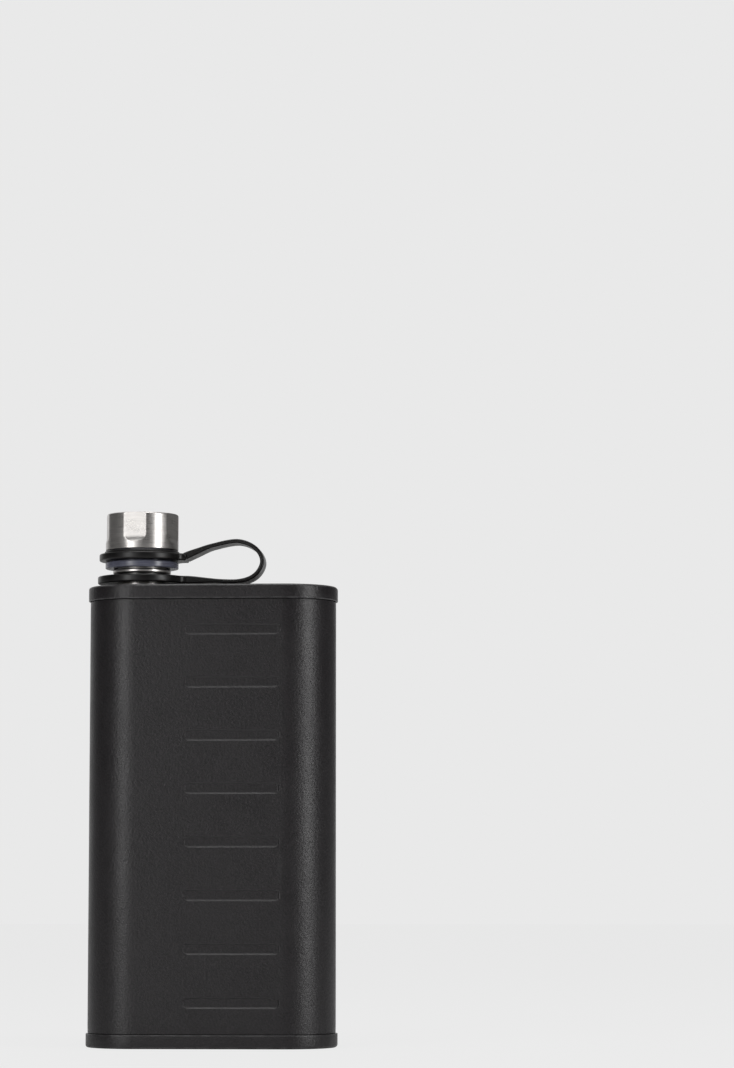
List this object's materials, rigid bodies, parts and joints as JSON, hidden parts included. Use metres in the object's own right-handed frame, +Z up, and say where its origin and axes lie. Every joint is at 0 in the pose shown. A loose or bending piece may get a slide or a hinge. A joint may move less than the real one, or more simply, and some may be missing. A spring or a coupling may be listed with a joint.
{
  "type": "hip flask",
  "caption": "Flat coated steel hip flask with rounded sides, off-centre neck, steel screw cap with grip flats and a silicone cap strap.",
  "frame": {"origin": "centre of the base, on the surface that the flask stands on", "axes": "+Z up through the flask's height, -Y out of the wide front face, +X to the right seen from the front; the neck stands on the -X side"},
  "size_m": [0.07, 0.0314, 0.1488],
  "materials": {
    "coat": "fine-textured matt black powder coat on steel",
    "neck_steel": "turned and polished stainless steel",
    "cap_steel": "finely brushed stainless steel, flats milled smooth",
    "strap_silicone": "matt black moulded silicone",
    "collar_plastic": "glossy blue-grey moulded plastic",
    "seal_silicone": "pale silicone disc"
  },
  "bodies": {
    "flask": {"body_shell": "coat", "top_plate": "coat", "base_plate": "coat", "neck_spout": "neck_steel"},
    "strap": {"strap_neck_ring": "strap_silicone", "strap_band": "strap_silicone"},
    "cap_ring": {"strap_cap_ring": "strap_silicone"},
    "seal": {"cap_seal": "seal_silicone"},
    "cap": {"cap_shell": "cap_steel", "cap_liner": "collar_plastic"}
  },
  "joints": [
    {"name": "strap_swivel", "type": "hinge", "parent": "flask", "child": "strap", "pos_m": [-0.0203, 0, 0.13015], "axis": [0, 0, 1], "continuous": true},
    {"name": "ring_rise", "type": "slide", "parent": "strap", "child": "cap_ring", "axis": [0, 0, 1], "range_m": [0, 0.0121], "deforming": ["strap_band"]},
    {"name": "cap_rise", "type": "slide", "parent": "flask", "child": "seal", "axis": [0, 0, 1], "range_m": [0, 0.0121]},
    {"name": "cap_turn", "type": "hinge", "parent": "seal", "child": "cap", "pos_m": [-0.0203, 0, 0.1456], "axis": [0, 0, 1], "range_deg": [0, 1440]}
  ],
  "couplings": [
    {"joint": "cap_rise", "follows": "cap_turn", "m_per_rad": 0.00047746},
    {"joint": "ring_rise", "follows": "cap_turn", "m_per_rad": 0.00047746}
  ]
}
